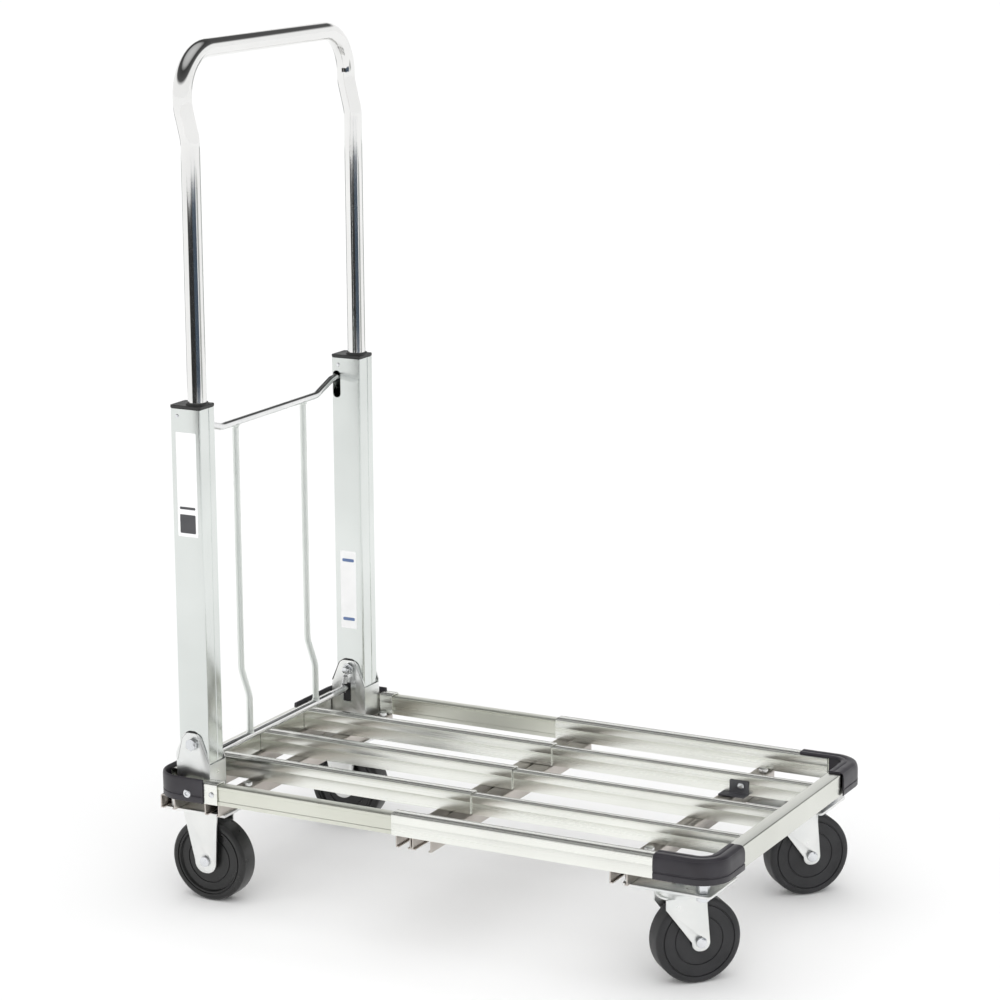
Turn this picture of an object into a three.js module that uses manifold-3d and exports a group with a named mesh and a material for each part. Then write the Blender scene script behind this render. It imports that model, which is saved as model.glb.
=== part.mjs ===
// Folding platform cart: a telescoping flat deck on four wheels, with a push handle that slides down
// into two posts and then folds flat over the deck.
// Millimetres. +X points from the handle end to the front, +Y to the left, +Z up. The origin is on the
// floor under the middle of the cart.

import * as THREE from 'three';
import { mergeVertices } from 'three/addons/utils/BufferGeometryUtils.js';
import Module from 'manifold-3d';

const wasm = await Module();
wasm.setup();

// ---- Driving dimensions ------------------------------------------------------------------------

const GAP = 0.3;                   // between faces that touch

// Deck heights
const DECK_TOP = 161;
const RAIL_BOTTOM = 135.3;         // underside of every rail and slat
const CROSS_TOP = 135;             // top of every cross member
const CROSS_BOTTOM = 118;
const CROSS_HALF_LENGTH = 205;

// Side rails: the outer one belongs to the front frame and slides over the inner one
const OUTER_RAIL = { in: 197, out: 215, wall: 1.6, x0: -41, x1: 320 };
const INNER_RAIL = { in: 199, out: 213, top: 159, wall: 1.6, x0: -327, x1: 5 };
const RAIL_STOP = { x0: -291, x1: -273, rivetX: -280.5, rivetZ: 147.4 };

// Slats: each front slat slides inside a rear slat
const SLAT_Y = { left: 103, middle: 0, right: -103 };
const REAR_SLAT = { width: 16, wall: 1.5, top: DECK_TOP, x0: -341.7, x1: 4.7 };
const FRONT_SLAT = { width: 12, wall: 1.3, top: 159, x0: -41, x1: 340 };

// End rails and corner bumpers
const END_HALF_LENGTH = { rear: 182, front: 175 };
const REAR_END = { x0: -358.3, x1: -342 };
const FRONT_END = { x0: 340.3, x1: 358.3 };
const BUMPER = { out: 217.3, end: 362, top: 163.5, bottom: 135.3, radius: 35, inner: 145, shell: 3, x0: 284 };
const REAR_BUMPER = { top: 164.3, side: 4, strap: 3.4, inner: 105, x0: 291.6 };

// Cross members: [start, end] along X
const CROSS_MEMBERS = {
  cross_member_rear: [-358, -338],
  cross_member_bracket: [-297, -277],
  cross_member_middle: [-20, 5],
  cross_member_slide: [-41, -21.5],
  cross_member_front: [227, 249],
};
const CROSS_WALL = 1.6;
const CROSS_LIP = 4;

// Posts and their hinge
const POST = { x0: -334.5, x1: -294.5, in: 165, out: 197, z0: 166, z1: 597, wall: 1.5 };
const POST_Y = 181;
const POST_WEB = [-321.2, -319.7];
const POST_SLOT = { x: -327.5, z0: 547, z1: 581, width: 10.6 };
const CAP_TOP = 601.2;
const COLLAR_TOP = 603.7;
const PIVOT = { x: -315, z: 200, radius: 4 };

// Handle
const TUBE = { radius: 11, wall: 1.5, x: -307.5, gripX: -316.5, z0: 520, top: 1012 };
const HANDLE_BEND = { start: 902, end: 940, radius: 58, corner: 52 };
const GLIDE_BOTTOM = 500;

// Release frame: two rods joined by two upright wires
const ROD_RADIUS = 4.4;
const WIRE_RADIUS = 3.8;
const WIRE_Y = 76.5;
const UPPER_ROD = { x: -323.5, z: 560, bendY: 108, endX: -327.5, endZ: 576.5, reach: 180 };
const LOWER_ROD = { x: -313, z: 178, bendY: 112, endX: -319, endZ: 174.5, reach: 162.5 };
const WIRE_KINK = { top: 259, bottom: 227, radius: 30 };
const SPRING_Y = 155;

// Post brackets
const EAR = 1.4;
const BRACKET_WEB = { x0: -294.1, x1: -292.7, top: 176.5 };

// Wheels and casters
const WHEEL = { radius: 50, width: 28, hub: 32, bore: 4.5 };
const CASTER_Y = 160;
const REAR_WHEEL_X = -314.5;
const SWIVEL_X = 291;
const TRAIL = 18;
const REST_SWIVEL_DEG = 46;
const PLATE = { bottom: 114.7, top: 117.7 };
const FORK_SIDE = { inner: 17, thickness: 2.5 };
const AXLE_RADIUS = 4;
const SPACER = { x: 330, y: 185 };

// ---- Materials ---------------------------------------------------------------------------------

const aluminium = new THREE.MeshStandardMaterial({ color: 0xc9cbc2, roughness: 0.35, metalness: 1 });
const chrome = new THREE.MeshStandardMaterial({ color: 0xe4e4e2, roughness: 0.08, metalness: 1 });
const zinc = new THREE.MeshStandardMaterial({ color: 0xd2d3d2, roughness: 0.22, metalness: 1 });
const plastic = new THREE.MeshStandardMaterial({ color: 0x161616, roughness: 0.5, metalness: 0 });
const tyre = new THREE.MeshStandardMaterial({ color: 0x101010, roughness: 0.45, metalness: 0 });

// ---- Solids ------------------------------------------------------------------------------------

function solid(geometry) {
  geometry.deleteAttribute('normal');
  geometry.deleteAttribute('uv');
  const merged = mergeVertices(geometry, 1e-4);
  return new wasm.Manifold(new wasm.Mesh({
    numProp: 3,
    vertProperties: new Float32Array(merged.attributes.position.array),
    triVerts: new Uint32Array(merged.index.array),
  }));
}

function join(...solids) {
  return solids.reduce((all, next) => all.add(next));
}

function cut(body, ...tools) {
  return tools.reduce((rest, tool) => rest.subtract(tool), body);
}

function box([x0, x1], [y0, y1], [z0, z1]) {
  const geometry = new THREE.BoxGeometry(x1 - x0, y1 - y0, z1 - z0);
  geometry.translate((x0 + x1) / 2, (y0 + y1) / 2, (z0 + z1) / 2);
  return solid(geometry);
}

// A closed outline from corners [u, v] or [u, v, radius].
function outline(corners, steps = 5) {
  const points = [];
  corners.forEach(([u, v, radius], i) => {
    const here = new THREE.Vector2(u, v);
    if (!radius) {
      points.push(here);
      return;
    }
    const before = corners.at(i - 1);
    const after = corners[(i + 1) % corners.length];
    const back = new THREE.Vector2(before[0], before[1]).sub(here).normalize();
    const on = new THREE.Vector2(after[0], after[1]).sub(here).normalize();
    const half = Math.acos(back.dot(on)) / 2;
    const bisector = back.clone().add(on).normalize();
    const centre = here.clone().addScaledVector(bisector, radius / Math.sin(half));
    const start = here.clone().addScaledVector(back, radius / Math.tan(half)).sub(centre);
    const end = here.clone().addScaledVector(on, radius / Math.tan(half)).sub(centre);
    let sweep = end.angle() - start.angle();
    if (sweep > Math.PI) sweep -= 2 * Math.PI;
    if (sweep < -Math.PI) sweep += 2 * Math.PI;
    for (let k = 0; k <= steps; k += 1) {
      points.push(start.clone().rotateAround(new THREE.Vector2(), (sweep * k) / steps).add(centre));
    }
  });
  return new THREE.Shape(points);
}

function prism(shape, from, to, turn) {
  const geometry = new THREE.ExtrudeGeometry(shape, { depth: to - from, bevelEnabled: false });
  geometry.translate(0, 0, from);
  if (turn) geometry.applyMatrix4(turn);
  return solid(geometry);
}

// Outline corners are [y, z] along X, [z, x] along Y and [x, y] along Z.
const ALONG_X = new THREE.Matrix4().set(0, 0, 1, 0, 1, 0, 0, 0, 0, 1, 0, 0, 0, 0, 0, 1);
const ALONG_Y = new THREE.Matrix4().set(0, 1, 0, 0, 0, 0, 1, 0, 1, 0, 0, 0, 0, 0, 0, 1);
const prismX = (corners, x0, x1, steps) => prism(outline(corners, steps), x0, x1, ALONG_X);
const prismY = (corners, y0, y1, steps) => prism(outline(corners, steps), y0, y1, ALONG_Y);
const prismZ = (corners, z0, z1, steps) => prism(outline(corners, steps), z0, z1);

function cylinder(axis, radius, from, to, [a, b], sides = 24) {
  const geometry = new THREE.CylinderGeometry(radius, radius, to - from, sides);
  if (axis === 'x') geometry.rotateZ(Math.PI / 2).translate((from + to) / 2, a, b);
  if (axis === 'y') geometry.translate(a, (from + to) / 2, b);
  if (axis === 'z') geometry.rotateX(Math.PI / 2).translate(a, b, (from + to) / 2);
  return solid(geometry);
}

function hexagon(axis, acrossFlats, from, to, at) {
  return cylinder(axis, acrossFlats / Math.sqrt(3), from, to, at, 6);
}

// A run of stations, so that a straight stretch costs one segment and a bend costs several.
class Stations extends THREE.Curve {
  constructor(points) {
    super();
    this.points = points;
  }

  index(u) {
    return Math.round(u * (this.points.length - 1));
  }

  getPointAt(u) {
    return this.points[this.index(u)].clone();
  }

  getTangentAt(u) {
    const i = this.index(u);
    const here = this.points[i];
    const next = this.points[Math.min(i + 1, this.points.length - 1)];
    const last = this.points[Math.max(i - 1, 0)];
    const ahead = next.clone().sub(here).normalize();
    const behind = here.clone().sub(last).normalize();
    return ahead.add(behind).normalize();
  }
}

// Stations along a path of corners [x, y, z, bend radius].
function bentPath(corners, steps) {
  const points = [];
  corners.forEach(([x, y, z, radius], i) => {
    const here = new THREE.Vector3(x, y, z);
    if (!radius) {
      points.push(here);
      return;
    }
    const back = new THREE.Vector3(...corners[i - 1].slice(0, 3)).sub(here).normalize();
    const on = new THREE.Vector3(...corners[i + 1].slice(0, 3)).sub(here).normalize();
    const half = back.angleTo(on) / 2;
    const bisector = back.clone().add(on).normalize();
    const centre = here.clone().addScaledVector(bisector, radius / Math.sin(half));
    const start = here.clone().addScaledVector(back, radius / Math.tan(half)).sub(centre);
    const axis = back.clone().cross(on).normalize().negate();
    const sweep = Math.PI - 2 * half;
    const count = Math.max(2, Math.round((steps * sweep) / (Math.PI / 2)));
    for (let k = 0; k <= count; k += 1) {
      points.push(start.clone().applyAxisAngle(axis, (sweep * k) / count).add(centre));
    }
  });
  return points;
}

function rod(corners, radius, bore = 0, sides = 12, steps = 6) {
  const shape = new THREE.Shape();
  shape.absarc(0, 0, radius, 0, 2 * Math.PI);
  if (bore) shape.holes.push(new THREE.Path().absarc(0, 0, bore, 0, 2 * Math.PI));
  const stations = bentPath(corners, steps);
  const geometry = new THREE.ExtrudeGeometry(shape, {
    steps: stations.length - 1,
    curveSegments: sides / 2,
    extrudePath: new Stations(stations),
    bevelEnabled: false,
  });
  return solid(geometry);
}

// ---- The model ---------------------------------------------------------------------------------

const cart = new THREE.Group();

function meshOf(body, name, material) {
  const mesh = body.getMesh();
  const geometry = new THREE.BufferGeometry();
  geometry.setAttribute('position', new THREE.BufferAttribute(new Float32Array(mesh.vertProperties), 3));
  geometry.setIndex(new THREE.BufferAttribute(new Uint32Array(mesh.triVerts), 1));
  geometry.computeVertexNormals();
  const result = new THREE.Mesh(geometry, material);
  result.name = name;
  return result;
}

function add(name, body, material, parent = cart) {
  parent.add(meshOf(body, name, material));
}

const SIDES = [['left', 1], ['right', -1]];

// Puts a shape drawn on the left side (+Y) on either side.
function onSide(sign, [a, b]) {
  return sign > 0 ? [a, b] : [-b, -a];
}

// ---- Rails and slats ---------------------------------------------------------------------------

// An upside-down channel along X: closed top with rounded edges, open below.
function channelX([y0, y1], [z0, z1], wall, radius, x0, x1) {
  const outer = [[y0, z0], [y1, z0], [y1, z1, radius], [y0, z1, radius]];
  const inner = [
    [y0 + wall, z0 - 1],
    [y1 - wall, z0 - 1],
    [y1 - wall, z1 - wall, radius - wall],
    [y0 + wall, z1 - wall, radius - wall],
  ];
  return cut(prismX(outer, x0, x1), prismX(inner, x0 - 1, x1 + 1));
}

function channelY([x0, x1], [z0, z1], wall, radius, y0, y1) {
  const outer = [[z0, x0], [z0, x1], [z1, x1, radius], [z1, x0, radius]];
  const inner = [
    [z0 - 1, x0 + wall],
    [z0 - 1, x1 - wall],
    [z1 - wall, x1 - wall, radius - wall],
    [z1 - wall, x0 + wall, radius - wall],
  ];
  return cut(prismY(outer, y0, y1), prismY(inner, y0 - 1, y1 + 1));
}

for (const [side, sign] of SIDES) {
  const outerY = onSide(sign, [OUTER_RAIL.in, OUTER_RAIL.out]);
  const innerY = onSide(sign, [INNER_RAIL.in, INNER_RAIL.out]);
  const outward = onSide(sign, [OUTER_RAIL.out - 1, OUTER_RAIL.out + 1.4]);

  const railHeight = [RAIL_BOTTOM, DECK_TOP];
  const outerRail = channelX(outerY, railHeight, OUTER_RAIL.wall, 3, OUTER_RAIL.x0, OUTER_RAIL.x1);
  add(`rail_outer_${side}`, outerRail, aluminium);

  const tube = prismX(
    [
      [innerY[0], RAIL_BOTTOM],
      [innerY[1], RAIL_BOTTOM],
      [innerY[1], INNER_RAIL.top, 2],
      [innerY[0], INNER_RAIL.top, 2],
    ],
    INNER_RAIL.x0,
    INNER_RAIL.x1,
    3,
  );
  const bore = box(
    [INNER_RAIL.x0 - 1, INNER_RAIL.x1 + 1],
    [innerY[0] + INNER_RAIL.wall, innerY[1] - INNER_RAIL.wall],
    [RAIL_BOTTOM + INNER_RAIL.wall, INNER_RAIL.top - INNER_RAIL.wall],
  );
  add(`rail_inner_${side}`, cut(tube, bore), aluminium);

  const stop = channelX(outerY, railHeight, OUTER_RAIL.wall, 3, RAIL_STOP.x0, RAIL_STOP.x1);
  const rivet = cylinder('y', 3.5, ...outward, [RAIL_STOP.rivetX, RAIL_STOP.rivetZ], 16);
  add(`rail_stop_${side}`, join(stop, rivet), aluminium);
}

for (const [place, y] of Object.entries(SLAT_Y)) {
  const rearY = [y - REAR_SLAT.width / 2, y + REAR_SLAT.width / 2];
  const frontY = [y - FRONT_SLAT.width / 2, y + FRONT_SLAT.width / 2];
  const rearZ = [RAIL_BOTTOM, REAR_SLAT.top];
  const frontZ = [RAIL_BOTTOM, FRONT_SLAT.top];
  const rear = channelX(rearY, rearZ, REAR_SLAT.wall, 2.5, REAR_SLAT.x0, REAR_SLAT.x1);
  const front = channelX(frontY, frontZ, FRONT_SLAT.wall, 2, FRONT_SLAT.x0, FRONT_SLAT.x1);
  add(`slat_rear_${place}`, rear, aluminium);
  add(`slat_front_${place}`, front, aluminium);
}

const endHeight = [RAIL_BOTTOM, DECK_TOP];
for (const [end, { x0, x1 }] of [['rear', REAR_END], ['front', FRONT_END]]) {
  const reach = END_HALF_LENGTH[end];
  add(`end_rail_${end}`, channelY([x0, x1], endHeight, 1.6, 3, -reach, reach), aluminium);
}

// ---- Corner bumpers ----------------------------------------------------------------------------

// Front corner: a hollow moulding with a cover, over the ends of the side rail and the end rail.
function frontBumper() {
  const { out, top, bottom, radius, inner, shell, x0 } = BUMPER;
  const inside = OUTER_RAIL.in;
  const body = prismZ(
    [
      [x0, inside],
      [FRONT_END.x0 - 0.6, inside],
      [FRONT_END.x0 - 0.6, inner],
      [BUMPER.end, inner],
      [BUMPER.end, out, radius],
      [x0, out],
    ],
    bottom,
    top,
    8,
  );
  const pocket = prismZ(
    [
      [FRONT_END.x0 - 0.6 + shell, inside - 18],
      [BUMPER.end - shell, inside - 18],
      [BUMPER.end - shell, out - shell, radius - shell],
      [FRONT_END.x0 - 16, out - shell],
      [FRONT_END.x0 - 16, inside + shell],
      [FRONT_END.x0 - 0.6 + shell, inside + shell],
    ],
    bottom - 1,
    top - shell,
    8,
  );
  const sideSpace = box(
    [x0 - 1, OUTER_RAIL.x1 + GAP],
    [OUTER_RAIL.in - GAP - 2, OUTER_RAIL.out + GAP],
    [bottom - 1, DECK_TOP + GAP],
  );
  const endSpace = box(
    [FRONT_END.x0 - 1, FRONT_END.x1 + GAP],
    [inner - 1, END_HALF_LENGTH.front + GAP],
    [bottom - 1, DECK_TOP + GAP],
  );
  return cut(body, pocket, sideSpace, endSpace);
}

// Rear corner: an open band round the ends of the side rail and the end rail.
function rearBumper() {
  const { top, side, strap, inner, x0 } = REAR_BUMPER;
  const { out, end, bottom, radius } = BUMPER;
  return prismZ(
    [
      [-x0, out],
      [-end, out, radius],
      [-end, inner],
      [strap - end, inner],
      [strap - end, out - side, radius - side],
      [-x0, out - side],
    ],
    bottom,
    top,
    10,
  );
}

for (const [side, sign] of SIDES) {
  add(`corner_bumper_front_${side}`, frontBumper().scale([1, sign, 1]), plastic);
  add(`corner_bumper_rear_${side}`, rearBumper().scale([1, sign, 1]), plastic);
}

// ---- Cross members -----------------------------------------------------------------------------

// Where the bolts of the caster plates go through the cross members: [x, |y|].
const REAR_BOLTS = [[-283, 133], [-283, 189], [-350.3, 133], [-350.3, 189]];
const FRONT_BOLTS = [[241.5, 133], [241.5, 189]];

function crossMember([x0, x1]) {
  const height = [CROSS_BOTTOM, CROSS_TOP];
  const reach = [-CROSS_HALF_LENGTH, CROSS_HALF_LENGTH];
  const body = channelY([x0, x1], height, CROSS_WALL, 2.5, ...reach);
  const lips = [[x0, x0 + CROSS_LIP], [x1 - CROSS_LIP, x1]].map((lip) => (
    box(lip, reach, [CROSS_BOTTOM, CROSS_BOTTOM + CROSS_WALL])
  ));
  const holes = [...REAR_BOLTS, ...FRONT_BOLTS]
    .filter(([x]) => x > x0 && x < x1)
    .flatMap(([x, y]) => [y, -y].map((at) => cylinder('z', 3.6, 100, 140, [x, at], 16)));
  return cut(join(body, ...lips), ...holes);
}

for (const [name, span] of Object.entries(CROSS_MEMBERS)) {
  add(name, crossMember(span), zinc);
}

// ---- Posts, brackets and pivot bolts -----------------------------------------------------------

function postOutline(inset) {
  const { x0, x1 } = POST;
  const half = (POST.out - POST.in) / 2;
  const [y0, y1] = [POST_Y - half + inset, POST_Y + half - inset];
  const radius = inset > 0 ? 1 : 2.2;
  return [
    [x0 + inset, y0, radius],
    [x1 - inset, y0, radius],
    [x1 - inset, y1, radius],
    [x0 + inset, y1, radius],
  ];
}

function post(sign) {
  const { wall } = POST;
  const shell = prismZ(postOutline(0), POST.z0, POST.z1, 3);
  const chambers = [[POST.x0 + wall, POST_WEB[0]], [POST_WEB[1], POST.x1 - wall]].map((span) => (
    box(span, [POST.in + wall, POST.out - wall], [POST.z0 - 1, POST.z1 + 1])
  ));
  const groove = box([POST.x1 - 0.6, POST.x1 + 1], [POST_Y + sign * 3 - 0.6, POST_Y + sign * 3 + 0.6],
    [POST.z0 - 1, POST.z1 + 1]);
  const pivot = cylinder('y', PIVOT.radius + 0.35, POST.in - 1, POST.out + 1, [PIVOT.x, PIVOT.z]);
  const slotHeight = [POST_SLOT.z0, POST_SLOT.z1];
  const slot = box(
    [POST_SLOT.x - POST_SLOT.width / 2, POST_SLOT.x + POST_SLOT.width / 2],
    [POST.in - 1, POST.in + wall + 1],
    slotHeight,
  );
  return cut(shell, ...chambers, groove, pivot, slot);
}

function postCap() {
  const plate = prismZ(
    [
      [POST.x0 - 0.4, POST.in - 0.4, 2.5],
      [POST.x1 + 0.4, POST.in - 0.4, 2.5],
      [POST.x1 + 0.4, POST.out + 0.4, 2.5],
      [POST.x0 - 0.4, POST.out + 0.4, 2.5],
    ],
    POST.z1 + GAP,
    CAP_TOP,
    3,
  );
  const collar = cylinder('z', 13.2, POST.z1 + 1, COLLAR_TOP, [TUBE.x, POST_Y], 32);
  const plug = box(
    [POST.x0 + POST.wall + GAP, POST_WEB[0] - GAP],
    [POST.in + POST.wall + GAP, POST.out - POST.wall - GAP],
    [POST.z1 - 9, POST.z1 + 1],
  );
  const hole = cylinder('z', TUBE.radius + 0.4, POST.z1 - 20, COLLAR_TOP + 1, [TUBE.x, POST_Y], 32);
  return cut(join(plate, collar, plug), hole);
}

// Side plates and a front web of bent sheet, standing on a flange over two cross members.
function postBracket() {
  const base = CROSS_TOP + GAP;
  const outerEar = prismY(
    [
      [base, -337],
      [base, BRACKET_WEB.x1],
      [BRACKET_WEB.top + 4, BRACKET_WEB.x1],
      [213, -305, 9],
      [213, -327, 9],
      [186, -338.5, 6],
    ],
    POST.out + GAP,
    POST.out + GAP + EAR,
    4,
  );
  const innerEar = prismY(
    [
      [base, -341],
      [base, BRACKET_WEB.x1],
      [BRACKET_WEB.top, BRACKET_WEB.x1],
      [210, -304, 9],
      [210, -328, 9],
      [178, -341, 6],
    ],
    POST.in - GAP - EAR,
    POST.in - GAP,
    4,
  );
  const reach = [POST.in - GAP - EAR, POST.out + GAP + EAR];
  const web = box([BRACKET_WEB.x0, BRACKET_WEB.x1], reach, [base, BRACKET_WEB.top]);
  const flange = box([-341, BRACKET_WEB.x1], reach, [base, base + EAR]);
  const pivot = cylinder('y', PIVOT.radius + 0.35, POST.in - 5, POST.out + 5, [PIVOT.x, PIVOT.z]);
  const slot = box([-324.5, -313.5], [POST.in - 5, POST.in - 0.1], [156, 181]);
  return cut(join(outerEar, innerEar, web, flange), pivot, slot);
}

function pivotBolt() {
  const at = [PIVOT.x, PIVOT.z];
  const outerFace = POST.out + GAP + EAR + GAP;
  const innerFace = POST.in - GAP - EAR - GAP;
  return join(
    cylinder('y', PIVOT.radius, SPRING_Y - 4, outerFace + 3, at),
    hexagon('y', 13, outerFace, outerFace + 5, at),
    hexagon('y', 13, innerFace - 4.5, innerFace, at),
  );
}

const uprights = new THREE.Group();
cart.add(uprights);

for (const [side, sign] of SIDES) {
  add(`post_${side}`, post(sign).scale([1, sign, 1]), aluminium, uprights);
  add(`post_cap_${side}`, postCap().scale([1, sign, 1]), plastic, uprights);
  add(`post_bracket_${side}`, postBracket().scale([1, sign, 1]), zinc);
  add(`post_pivot_bolt_${side}`, pivotBolt().scale([1, sign, 1]), zinc);
}

// ---- Handle ------------------------------------------------------------------------------------

const handle = new THREE.Group();
uprights.add(handle);

const gripZ = TUBE.top - TUBE.radius;
const legCorners = [
  [TUBE.x, -POST_Y, TUBE.z0],
  [TUBE.x, -POST_Y, HANDLE_BEND.start, HANDLE_BEND.radius],
  [TUBE.gripX, -POST_Y, HANDLE_BEND.end, HANDLE_BEND.radius],
  [TUBE.gripX, -POST_Y, gripZ, HANDLE_BEND.corner],
];
const handleCorners = [
  ...legCorners,
  ...legCorners.map(([x, y, z, radius]) => [x, -y, z, radius]).reverse(),
];
add('handle_bar', rod(handleCorners, TUBE.radius, TUBE.radius - TUBE.wall, 16, 7), chrome, handle);

for (const [side, sign] of SIDES) {
  const block = box(
    [POST_WEB[1] + GAP, POST.x1 - POST.wall - GAP],
    [POST.in + POST.wall + GAP, POST.out - POST.wall - GAP],
    [GLIDE_BOTTOM, TUBE.z0 - GAP],
  );
  const spigot = cylinder('z', TUBE.radius - TUBE.wall - GAP, TUBE.z0 - 2, TUBE.z0 + 22, [TUBE.x, POST_Y]);
  add(`handle_glide_${side}`, join(block, spigot).scale([1, sign, 1]), plastic, handle);
}

// ---- Release frame -----------------------------------------------------------------------------

// A rod across the cart: straight in the middle, then a bend towards each post, then a level end.
// rise is how much of its height the rod has gained or lost where the end begins.
function crossRod({ x, z, bendY, endX, endZ, reach }, rise) {
  const endY = 150;
  const kneeZ = z + rise * (endZ - z);
  const half = [
    [x, bendY, z, 40],
    [endX, endY, kneeZ, 16],
    [endX, reach, endZ],
  ];
  return rod([...half.map(([a, y, c, radius]) => [a, -y, c, radius]).reverse(), ...half], ROD_RADIUS);
}

const releaseFrame = join(
  crossRod(UPPER_ROD, 0.72),
  crossRod(LOWER_ROD, 1),
  ...[WIRE_Y, -WIRE_Y].map((y) => rod([
    [UPPER_ROD.x, y, UPPER_ROD.z],
    [UPPER_ROD.x, y, WIRE_KINK.top, WIRE_KINK.radius],
    [LOWER_ROD.x, y, WIRE_KINK.bottom, WIRE_KINK.radius],
    [LOWER_ROD.x, y, LOWER_ROD.z],
  ], WIRE_RADIUS)),
);
add('release_frame', releaseFrame, zinc, uprights);

// Closed-coil tension spring: an eye round the pivot bolt and a coil body that ends over the lower rod.
function releaseSpring() {
  const eye = new THREE.TorusGeometry(5.4, 0.9, 8, 20);
  eye.rotateX(Math.PI / 2).translate(PIVOT.x, SPRING_Y, PIVOT.z);
  return join(solid(eye), cylinder('z', 3.2, LOWER_ROD.endZ + 5, PIVOT.z - 5.2, [PIVOT.x - 1, SPRING_Y], 16));
}

for (const [side, sign] of SIDES) {
  add(`release_spring_${side}`, releaseSpring().scale([1, sign, 1]), zinc, uprights);
}

// ---- Wheels and casters ------------------------------------------------------------------------

// Each wheel is drawn round the Y axis at its own centre.
function wheel() {
  const { radius, width, hub, bore } = WHEEL;
  const half = width / 2;
  const edge = [
    [bore, -hub / 2],
    [13, -hub / 2],
    [14, -half + 1.5],
    [38.5, -half + 1.5],
    [40.5, -half],
    [radius - 4.5, -half],
    [radius - 1.4, -half + 1.4],
    [radius, -half + 5],
  ];
  const mirrored = edge.map(([r, y]) => [r, -y]).reverse();
  const profile = [...edge, ...mirrored, edge[0]].map(([r, y]) => new THREE.Vector2(r, y));
  return solid(new THREE.LatheGeometry(profile, 32));
}

function axleBolt() {
  const outer = FORK_SIDE.inner + FORK_SIDE.thickness + GAP;
  return join(
    cylinder('y', AXLE_RADIUS, -outer - 5.5, outer + 1, [0, 0]),
    cylinder('y', 6.2, outer, outer + 2.6, [0, 0]),
    hexagon('y', 12, -outer - 4.5, -outer, [0, 0]),
  );
}

// One fork side: a plate that narrows from the crown to a round foot at the axle.
function forkSide(crownZ, [crownX0, crownX1], foot, sign) {
  const inner = FORK_SIDE.inner;
  const [y0, y1] = onSide(sign, [inner, inner + FORK_SIDE.thickness]);
  return prismY(
    [
      [crownZ, crownX0],
      [crownZ, crownX1],
      [crownZ - 12, crownX1],
      [0, foot],
      [-foot, foot, foot - 1],
      [-foot, -foot, foot - 1],
      [0, -foot],
      [crownZ - 12, crownX0],
    ],
    y0,
    y1,
    6,
  );
}

function plateBolts(bolts, sign, centreX) {
  return bolts.flatMap(([x, y]) => {
    const at = [x - centreX, sign * (y - CASTER_Y)];
    return [
      cylinder('z', 3, PLATE.top - 1, CROSS_TOP + 1, at, 12),
      hexagon('z', 10, CROSS_TOP + GAP, CROSS_TOP + 4.6, at),
    ];
  });
}

// Fixed rear caster, drawn round its axle.
function rearFork(sign) {
  const drop = WHEEL.radius;
  const crown = PLATE.bottom - drop;
  const plate = box([-43.5, 40], [-37, 37], [crown, crown + 3]);
  const bolts = plateBolts(REAR_BOLTS, sign, REAR_WHEEL_X).map((bolt) => bolt.translate([0, 0, -drop]));
  const bore = cylinder('y', AXLE_RADIUS + 0.35, -30, 30, [0, 0]);
  const sides = [1, -1].map((way) => forkSide(crown + 1, [-28, 17], 14.5, way));
  return cut(join(plate, ...sides, ...bolts), bore);
}

// Swivel caster plate with the upper race, drawn round the swivel axis at floor height.
function casterPlate(sign) {
  const plate = prismZ([[-53, -37.5, 4], [53, -37.5, 4], [53, 37.5, 4], [-53, 37.5, 4]],
    PLATE.bottom, PLATE.top, 3);
  const race = cylinder('z', 25, 109, PLATE.bottom + 1, [0, 0], 40);
  const bolts = plateBolts(FRONT_BOLTS, sign, SWIVEL_X);
  const spacerHole = cylinder('z', 4.4, 100, 130, [SPACER.x - SWIVEL_X, sign * (SPACER.y - CASTER_Y)], 16);
  return cut(join(plate, race, ...bolts), cylinder('z', 5.6, 100, 120, [0, 0]), spacerHole);
}

function kingpin() {
  return join(
    cylinder('z', 5, 100, 121, [0, 0]),
    hexagon('z', 16, PLATE.top + GAP, PLATE.top + 5, [0, 0]),
    cylinder('z', 7.5, 99.9, 101.2, [0, 0]),
  );
}

// Swivel fork: its crown is under the race, and its axle trails behind the swivel axis.
function swivelFork() {
  const crown = 104;
  const crownPlate = prismZ(
    [[-26, -19.5, 16], [27, -19.5, 6], [27, 19.5, 6], [-26, 19.5, 16]],
    crown - 2.5,
    crown,
    5,
  );
  const race = cylinder('z', 23, crown - 1, 108.6, [0, 0], 40);
  const bore = cylinder('z', 5.6, 80, 112, [0, 0]);
  const sides = [1, -1].map((way) => (
    forkSide(crown - 1 - WHEEL.radius, [-41, 7], 10.5, way).translate([TRAIL, 0, WHEEL.radius])
  ));
  const axle = cylinder('y', AXLE_RADIUS + 0.35, -30, 30, [TRAIL, WHEEL.radius]);
  return cut(join(crownPlate, race, ...sides), bore, axle);
}

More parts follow.
